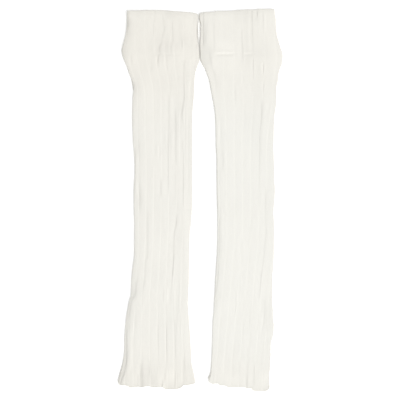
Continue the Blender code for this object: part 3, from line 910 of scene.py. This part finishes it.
def profile():
    """The cloth's section from edge to edge: rows of distance down, inset and share of the ribs.

    It goes down the outer face, round the hem's edge, up the inside, over the turned-in edge, down and
    up the two faces of the facing and over the cuff's rolled upper edge.
    """
    near_upper, above_seam, below_seam, near_hem = ROW_BREAKS
    hem_radius = CLOTH / 2
    hem_edge = LENGTH - hem_radius
    facing_in = CLOTH + SEAM_GAP
    facing_out = facing_in + FACING_CLOTH
    facing_radius = FACING_CLOTH / 2
    facing_edge = CUFF_DEPTH - facing_radius
    roll = facing_out / 2
    half_gap = SEAM_GAP / 2
    half_turn = np.linspace(0, np.pi, 7)[1:-1]

    def part(down, inset, ribbed):
        return np.stack(np.broadcast_arrays(down, inset, ribbed), axis=-1)

    outer = spaced([roll, near_upper, above_seam, below_seam, near_hem, hem_edge], [5, 20, 16, 146, 11])
    inner = spaced([hem_edge, near_hem, below_seam, above_seam, roll], [6, 20, 5, 4])
    facing = spaced([roll, near_upper, facing_edge], [4, 5])
    sine, cosine = np.sin(half_turn), np.cos(half_turn)
    return np.concatenate([
        part(outer, 0.0, 1.0),
        part(hem_edge + hem_radius * sine, hem_radius - hem_radius * cosine, (1 + cosine) / 2),
        part(inner, CLOTH, 0.0),
        part(roll - half_gap * sine, CLOTH + half_gap - half_gap * cosine, 0.0),
        part(facing, facing_in, 0.0),
        part(facing_edge + facing_radius * sine, facing_in + facing_radius - facing_radius * cosine, 0.0),
        part(facing[::-1], facing_out, 0.0),
        part(roll - roll * sine, roll + roll * cosine, (1 - cosine) / 2),
    ])


def shell_mesh(name, points, stitches, bake):
    """A mesh closed both ways from a grid of points, with two UV maps given at the grid's corners.

    The maps have one row and one column more than the points, so that they don't jump at the seams.
    """
    rows, columns = points.shape[:2]
    row, column = np.meshgrid(np.arange(rows), np.arange(columns), indexing="ij")
    steps = ((0, 0), (1, 0), (1, 1), (0, 1))
    faces = np.stack([(row + down) % rows * columns + (column + around) % columns
                      for down, around in steps], axis=-1).reshape(-1, 4)
    mesh = bpy.data.meshes.new(name)
    mesh.from_pydata(points.reshape(-1, 3).tolist(), [], faces.tolist())
    for map_name, values in (("stitches", stitches), ("OFBake", bake)):
        corners = np.stack([values[row + down, column + around] for down, around in steps], axis=-2)
        mesh.uv_layers.new(name=map_name).uv.foreach_set("vector", corners.astype(np.float32).ravel())
    mesh.shade_smooth()
    return mesh


def leg_mesh(name, leg):
    """The cloth of one leg warmer: the profile's rows by columns that follow the ribs round the leg.

    The stitch map counts wales across and courses along the profile, the OFBake map spreads the whole
    cloth over one square, and a point attribute holds 1 plus the patches of painted light and shade at
    each point.
    """
    first, last = FRONT_TURNS
    turns = np.concatenate([np.arange(first, last, 1 / FRONT_COLUMNS),
                            np.arange(last, first + RIBS_ROUND, 1 / BACK_COLUMNS),
                            [first + RIBS_ROUND]])
    section = profile()
    down, inset, ribbed = (section[:, k, None] for k in range(3))
    points = cloth_point(leg, turns[None, :-1], down, inset, ribbed)

    closed = np.concatenate([section, section[:1]])
    run = np.hypot(*np.diff(closed[:, :2], axis=0).T)
    run = np.concatenate([[0], np.cumsum(run)])
    rows = np.repeat(run[:, None], len(turns), axis=1)
    columns = np.repeat(turns[None, :], len(run), axis=0)
    stitches = np.stack([columns * WALES_PER_RIB, rows / COURSE], axis=-1)
    bake = np.stack([(columns - first) / RIBS_ROUND, rows / run[-1]], axis=-1)
    mesh = shell_mesh(name, points, stitches, bake)
    light_and_shade_patches = bells(leg["light_and_shade_patches"], points[..., 0] / MM, LENGTH / 2 - points[..., 1] / MM)
    painted_light_and_shade = mesh.attributes.new(name="painted_light_and_shade", type="FLOAT", domain="POINT")
    painted_light_and_shade.data.foreach_set("value", (1 + light_and_shade_patches / 100).astype(np.float32).ravel())
    return mesh


def strand_mesh(name, centres, outward, radii, sides=6):
    """Short yarn strands in one mesh: rings of points round each centre line, closed by a point at
    each end.

    A ring's point is the centre plus the radius times cos(angle) outward and sin(angle) across, where
    across is the cross product of the strand's direction and outward.
    """
    strands, rings = centres.shape[:2]
    along = np.gradient(centres, axis=1)
    across = np.cross(along, outward)
    across /= np.linalg.norm(across, axis=-1, keepdims=True)
    raised = np.cross(across, along)
    raised /= np.linalg.norm(raised, axis=-1, keepdims=True)
    angle = np.linspace(0, 2 * np.pi, sides, endpoint=False)
    circle = (np.cos(angle)[:, None] * raised[:, :, None, :]
              + np.sin(angle)[:, None] * across[:, :, None, :])
    tube = centres[:, :, None, :] + radii[:, :, None, None] * circle
    first = centres[:, 0] - along[:, 0] * 0.5
    last = centres[:, -1] + along[:, -1] * 0.5
    points = np.concatenate([tube.reshape(strands, -1, 3), first[:, None], last[:, None]], axis=1)

    ring = np.arange(rings * sides).reshape(rings, sides)
    following = np.roll(ring, -1, axis=1)
    tip, tail = rings * sides, rings * sides + 1
    quads = np.stack([ring[:-1], ring[1:], following[1:], following[:-1]], axis=-1).reshape(-1, 4)
    start = np.stack([ring[0], following[0], np.full(sides, tip)], axis=-1)
    end = np.stack([following[-1], ring[-1], np.full(sides, tail)], axis=-1)
    base = np.arange(strands)[:, None, None] * (rings * sides + 2)
    faces = (quads + base).reshape(-1, 4).tolist()
    faces += (start + base).reshape(-1, 3).tolist()
    faces += (end + base).reshape(-1, 3).tolist()
    mesh = bpy.data.meshes.new(name)
    mesh.from_pydata(points.reshape(-1, 3).tolist(), [], faces)
    mesh.shade_smooth()
    return mesh


def hem_chain(leg):
    """Centre lines, outward directions and radii of the bound-off stitches, one for each wale.

    With t from 0 to 1 along a stitch, it crosses the chain's row at a slant, and its depth in the cloth
    goes from CHAIN_SINK at its ends to above the face halfway as sin(pi t). Its radius is half the yarn's
    thickness times sqrt(sin(pi t)), with t drawn in a little from its ends.
    """
    blunt = 0.06
    t = np.linspace(0, 1, 7)
    starts = np.arange(RIBS_ROUND * WALES_PER_RIB) / WALES_PER_RIB
    turn = starts[:, None] + CHAIN_WALES / WALES_PER_RIB * t
    rows = LENGTH - CHAIN_UP + CHAIN_SLANT * (t - 0.5)
    depth = CHAIN_SINK - (CHAIN_SINK + CHAIN_ARCH * YARN) * np.sin(np.pi * t)
    centres = cloth_point(leg, turn, rows, depth, 1.0)
    outward = cloth_point(leg, turn, rows, depth - 0.5, 1.0) - centres
    radii = YARN / 2 * MM * np.sqrt(np.sin(np.pi * (blunt + (1 - 2 * blunt) * t)))
    radii = np.broadcast_to(radii, turn.shape)
    centres[..., 2] = np.maximum(centres[..., 2], radii)
    return centres, outward, radii


class Number:
    """A number in a material's nodes: a sum or product of it adds a Math node."""

    def __init__(self, finish, socket):
        self.finish = finish
        self.socket = socket

    def math(self, operation, *others):
        values = {place: other for place, other in enumerate((self, *others))}
        made = self.finish.node("ShaderNodeMath", {"operation": operation}, values)
        return Number(self.finish, made.outputs[0])

    def __add__(self, other):
        return self.math("ADD", other)

    def __mul__(self, other):
        return self.math("MULTIPLY", other)

    def __sub__(self, other):
        return self.math("SUBTRACT", other)

    def __rsub__(self, other):
        return (self * -1).math("ADD", other)

    __radd__ = __add__
    __rmul__ = __mul__


class Finish:
    """A material being built, with its Principled shader."""

    def __init__(self, name, **constants):
        self.material = bpy.data.materials.new(name)
        self.material.use_nodes = True
        self.tree = self.material.node_tree
        self.shader = self.tree.nodes["Principled BSDF"]
        for socket, value in constants.items():
            self.shader.inputs[socket.replace("_", " ")].default_value = value

    def set(self, socket, value):
        """Gives a socket a value, or a link where the value comes from another node."""
        if isinstance(value, Number):
            value = value.socket
        if isinstance(value, bpy.types.NodeSocket):
            self.tree.links.new(value, socket)
        else:
            socket.default_value = value

    def node(self, kind, settings, values):
        """Adds a node of a kind, with its settings first and then its sockets' values or links."""
        made = self.tree.nodes.new(kind)
        for name, value in settings.items():
            setattr(made, name, value)
        for place, value in values.items():
            self.set(made.inputs[place], value)
        return made

    def number(self, kind, settings, values, output=0):
        return Number(self, self.node(kind, settings, values).outputs[output])

    def mix(self, share, first, second):
        """A colour between two others."""
        made = self.node("ShaderNodeMix", {"data_type": "RGBA"}, {0: share, 6: first, 7: second})
        return made.outputs[2]

    def smooth(self, value, low, high):
        """0 at low and 1 at high, with a smooth step between."""
        return self.number("ShaderNodeMapRange", {"interpolation_type": "SMOOTHSTEP"},
                           {"Value": value, "From Min": low, "From Max": high})


def opaque(colour):
    return (*colour, 1.0)


def stitch_relief(wale, course):
    """Height of the stitches, from near 0 in the gaps between them to near 1 on the yarn.

    On a rib, each wale is a row of V shapes: with w the distance from the wale's middle line and c the
    courses plus a slant times w, both from 0 to 1, the height is a weighted mean of 4 w (1 - w) and
    4 c (1 - c). In a groove, the purl side's bars are a low height plus a rise times 4 b (1 - b), where b
    is the courses plus a small sine wave.
    """
    slant, wave = 0.55, 0.16
    strand_share, leg_share = 0.55, 0.45
    bar_low, bar_rise = 0.13, 0.68
    groove_from, groove_to = 0.78, 0.9
    in_wale = (wale.math("FRACT") * 2 - 1).math("ABSOLUTE")
    slanted = (course + in_wale * slant).math("FRACT")
    strand = slanted * (1 - slanted) * 4
    leg = in_wale * (1 - in_wale) * 4
    face = strand * strand_share + leg * leg_share
    looped = (course + (wale * np.pi * 2).math("SINE") * wave).math("FRACT")
    bar = looped * (1 - looped) * 4
    from_middle = ((wale * (1 / WALES_PER_RIB)).math("FRACT") * 2 - 1).math("ABSOLUTE")
    purl = wale.finish.smooth(from_middle, groove_from, groove_to)
    return face * (1 - purl) + (bar * bar_rise + bar_low) * purl


def knit_finish(name, cloth, on_stitches=True):
    """Ivory rib knit, made once for both legs.

    Fibres and soft tints come from the object's coordinates, and stitches from the stitch map. Painted
    shade darkens the left leg, the cuffs and the cloth towards the hems, and a point attribute scales the
    colour by patches of painted light and shade. Without stitches it has the soft tints and the left leg's
    painted shade.
    """
    if name in bpy.data.materials:
        return bpy.data.materials[name]
    finish = Finish(name, Sheen_Weight=cloth.sheen, Sheen_Roughness=0.5, Specular_IOR_Level=0.2)
    place = finish.node("ShaderNodeTexCoord", {}, {}).outputs["Object"]
    across = Number(finish, finish.node("ShaderNodeSeparateXYZ", {}, {0: place}).outputs[0])
    drift = finish.number("ShaderNodeTexNoise", {}, {"Vector": place, "Scale": 14.0, "Detail": 3.0})
    on_left = 1 - finish.smooth(across, -PARTING * MM, PARTING * MM)
    # Painted shade on the whole left leg, plus a random drift of tone
    deep = on_left * cloth.left_painted_shade + (drift - 0.5) * cloth.drift
    fibre = finish.number("ShaderNodeTexNoise", {}, {"Vector": place, "Scale": 1400.0, "Detail": 2.0})
    relief = fibre * FIBRE_RELIEF
    if on_stitches:
        stitch = finish.node("ShaderNodeUVMap", {"uv_map": "stitches"}, {}).outputs[0]
        parts = finish.node("ShaderNodeSeparateXYZ", {}, {0: stitch})
        wale = Number(finish, parts.outputs[0])
        course = Number(finish, parts.outputs[1])
        stitched = stitch_relief(wale, course)
        relief = relief + stitched
        # Painted shade at the cuffs, where the cloth is double
        cuff_start, cuff_end = (down / COURSE for down in CUFF_SHADE_RUN)
        deep = deep + (1 - finish.smooth(course, cuff_start, cuff_end)) * cloth.cuff_painted_shade
        # Painted shade towards the hems
        hem_start, hem_end = (down / COURSE for down in HEM_SHADE_RUN)
        deep = deep + finish.smooth(course, hem_start, hem_end) * cloth.hem_painted_shade
    yarn = finish.mix(deep, opaque(cloth.colour), opaque(cloth.shade_and_drift_colour))
    if on_stitches:
        # Patches of painted light and painted shade scale the colour
        patches = finish.node("ShaderNodeAttribute", {"attribute_name": "painted_light_and_shade"}, {}).outputs["Fac"]
        yarn = finish.node("ShaderNodeVectorMath", {"operation": "SCALE"}, {0: yarn, 3: patches}).outputs[0]
        gap = 1 - finish.smooth(stitched, *GAP_SHADE)
        yarn = finish.mix(gap * cloth.gap_shade, yarn, opaque(cloth.gap_colour))
    finish.set(finish.shader.inputs["Base Color"], yarn)
    finish.set(finish.shader.inputs["Roughness"], cloth.roughness - FIBRE_GLOSS / 2 + fibre * FIBRE_GLOSS)
    bump = finish.node("ShaderNodeBump", {},
                       {"Strength": 1.0, "Distance": cloth.stitch_depth, "Height": relief})
    finish.set(finish.shader.inputs["Normal"], bump.outputs[0])
    return finish.material


def add_object(name, mesh, material):
    piece = bpy.data.objects.new(name, mesh)
    mesh.materials.append(material)
    bpy.context.scene.collection.objects.link(piece)
    return piece


def dress(piece):
    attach(piece, "root")


class ClothSettings(bpy.types.PropertyGroup):
    """Finish of the knit."""

    colour: FloatVectorProperty(
        name="Yarn colour", description="Main colour of the yarn", subtype="COLOR", size=3,
        default=(0.847, 0.838, 0.788), min=0, max=1)
    # Colour that painted shade and the random drift of tone darken the yarn towards
    shade_and_drift_colour: FloatVectorProperty(
        name="Deep colour", description="Colour of the yarn where its tone is deepest", subtype="COLOR",
        size=3, default=(0.811, 0.788, 0.728), min=0, max=1)
    # Painted shade that darkens the colour of the whole left leg
    left_painted_shade: FloatProperty(
        name="Left leg's depth", description="How deep the left leg's tone is", subtype="FACTOR",
        default=0.36, min=0, max=1)
    # Painted shade that darkens the cuffs, where the cloth is double
    cuff_painted_shade: FloatProperty(
        name="Cuff's depth", description="How much deeper the tone is where the cloth is double",
        subtype="FACTOR", default=0.6, min=0, max=1)
    # Painted shade that darkens the cloth towards the hems
    hem_painted_shade: FloatProperty(
        name="Hem's depth", description="How much deeper the tone is at the hem", subtype="FACTOR",
        default=0.45, min=0, max=1)
    drift: FloatProperty(
        name="Drift", description="How much the tone drifts in soft patches", subtype="FACTOR",
        default=0.3, min=0, max=1)
    gap_colour: FloatVectorProperty(
        name="Gap colour", description="Colour of the shaded gaps between stitches", subtype="COLOR",
        size=3, default=(0.60, 0.585, 0.54), min=0, max=1)
    gap_shade: FloatProperty(
        name="Gap shade", description="How strongly the gaps between stitches are shaded",
        subtype="FACTOR", default=0.3, min=0, max=1)
    roughness: FloatProperty(
        name="Roughness", description="Roughness of the yarn", subtype="FACTOR", default=0.9, min=0, max=1)
    sheen: FloatProperty(
        name="Sheen", description="Soft light from the yarn's loose fibres", subtype="FACTOR",
        default=0.3, min=0, max=1)
    stitch_depth: FloatProperty(
        name="Stitch depth", description="Depth of the stitches' relief", unit="LENGTH", precision=5,
        default=0.0003, min=0, max=0.002)


class StageSettings(bpy.types.PropertyGroup):
    """Floor, lights and camera."""

    floor_colour: FloatVectorProperty(
        name="Floor colour", description="Colour of the studio floor", subtype="COLOR", size=3,
        default=(0.96, 0.96, 0.96), min=0, max=1)
    glow: FloatProperty(
        name="Floor glow", description="Light that comes up through the floor, as on a light table",
        default=0.28, min=0)
    sky: FloatProperty(
        name="Surrounding light", description="Strength of the light from all sides", default=0.58, min=0)
    key: FloatProperty(
        name="Key light", description="Power of the large soft light at the right", unit="POWER",
        default=2214.0, min=0)
    lens: FloatProperty(
        name="Lens", description="Focal length of the camera", unit="CAMERA", default=110.0, min=10)
    framed: FloatProperty(
        name="Framed width", description="Width of the floor that fills the picture", unit="LENGTH",
        default=0.70, min=0.1)


SIDES = [("left", "Left", "The one at the left"), ("right", "Right", "The one at the right")]


class LEGWARMERS_OT_leg(bpy.types.Operator):
    """Knit one leg warmer: ribbed tube, turned-in cuff and hem in one piece of cloth"""

    bl_idname = "legwarmers.leg"
    bl_label = "Leg warmer"

    side: EnumProperty(name="Side", description="Which of the two to make", items=SIDES)

    def execute(self, context):
        leg = LEGS[self.side]
        name = f"{self.side}_leg_warmer"
        material = knit_finish("ivory_knit", context.scene.leg_warmer_cloth)
        piece = add_object(name, leg_mesh(name, leg), material)
        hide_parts(f"{self.side}_leg", f"{self.side}_cuff_facing")
        dress(piece)
        return {"FINISHED"}


class LEGWARMERS_OT_yarn(bpy.types.Operator):
    """Bind off a hem with a chain of yarn"""

    bl_idname = "legwarmers.yarn"
    bl_label = "Hem chain"

    side: EnumProperty(name="Side", description="Which of the two to finish", items=SIDES)

    def execute(self, context):
        material = knit_finish("ivory_yarn", context.scene.leg_warmer_cloth, on_stitches=False)
        mesh = strand_mesh("hem_chain", *hem_chain(LEGS[self.side]))
        chain_piece = add_object(f"{self.side}_hem_chain", mesh, material)
        dress(chain_piece)
        return {"FINISHED"}


class LEGWARMERS_OT_stage(bpy.types.Operator):
    """Set up the pale floor, the soft lights and the camera that looks straight down"""

    bl_idname = "legwarmers.stage"
    bl_label = "Stage"

    def execute(self, context):
        stage = context.scene.leg_warmer_stage
        corners = [(-FLOOR_HALF, -FLOOR_HALF), (FLOOR_HALF, -FLOOR_HALF),
                   (FLOOR_HALF, FLOOR_HALF), (-FLOOR_HALF, FLOOR_HALF)]
        mesh = bpy.data.meshes.new("studio_floor")
        mesh.from_pydata([(*corner, FLOOR_LEVEL) for corner in corners], [], [(0, 1, 2, 3)])
        finish = Finish("studio_paper", Roughness=0.9, Specular_IOR_Level=0.1)
        finish.set(finish.shader.inputs["Base Color"], opaque(stage.floor_colour))
        finish.set(finish.shader.inputs["Emission Color"], (1.0, 1.0, 1.0, 1.0))
        finish.set(finish.shader.inputs["Emission Strength"], stage.glow)
        add_object("studio_floor", mesh, finish.material)

        world = bpy.data.worlds.new("studio_light")
        world.use_nodes = True
        backdrop = world.node_tree.nodes["Background"]
        backdrop.inputs["Color"].default_value = (1.0, 1.0, 1.0, 1.0)
        backdrop.inputs["Strength"].default_value = stage.sky
        context.scene.world = world

        lamp = bpy.data.lights.new("key_light", "AREA")
        lamp.shape = "SQUARE"
        lamp.size = KEY_SIZE
        lamp.energy = stage.key
        key = bpy.data.objects.new("key_light", lamp)
        key.location = KEY_PLACE
        key.rotation_mode = "QUATERNION"
        key.rotation_quaternion = key.location.to_track_quat("Z", "Y")
        context.scene.collection.objects.link(key)

        camera = bpy.data.cameras.new("camera")
        camera.lens = stage.lens
        camera.clip_end = CAMERA_REACH
        viewer = bpy.data.objects.new("camera", camera)
        height = stage.framed * camera.lens / camera.sensor_width
        viewer.location = (CAMERA_X, 0.0, CLOTH_LEVEL + height)
        context.scene.collection.objects.link(viewer)
        context.scene.camera = viewer
        context.scene.view_settings.view_transform = "Standard"
        return {"FINISHED"}


class LEGWARMERS_PT_panel(bpy.types.Panel):
    """Lists the settings and the pieces"""

    bl_idname = "LEGWARMERS_PT_panel"
    bl_label = "Leg warmers"
    bl_space_type = "VIEW_3D"
    bl_region_type = "UI"
    bl_category = "Leg warmers"

    def draw(self, context):
        for group in (context.scene.leg_warmer_cloth, context.scene.leg_warmer_stage):
            box = self.layout.box()
            for name in group.__annotations__:
                box.prop(group, name)
        for side in LEGS:
            self.layout.operator("legwarmers.leg", text=f"Leg warmer, {side}").side = side
            self.layout.operator("legwarmers.yarn", text=f"Hem chain, {side}").side = side
        self.layout.operator("legwarmers.stage")


CLASSES = (ClothSettings, StageSettings, LEGWARMERS_OT_leg, LEGWARMERS_OT_yarn, LEGWARMERS_OT_stage,
           LEGWARMERS_PT_panel)


def register():
    for kind in CLASSES:
        bpy.utils.register_class(kind)
    bpy.types.Scene.leg_warmer_cloth = PointerProperty(type=ClothSettings)
    bpy.types.Scene.leg_warmer_stage = PointerProperty(type=StageSettings)


def unregister():
    del bpy.types.Scene.leg_warmer_stage
    del bpy.types.Scene.leg_warmer_cloth
    for kind in reversed(CLASSES):
        bpy.utils.unregister_class(kind)


def main():
    register()
    bpy.ops.legwarmers.stage()
    for side in LEGS:
        bpy.ops.legwarmers.leg(side=side)
        bpy.ops.legwarmers.yarn(side=side)


if __name__ == "__main__":
    main()
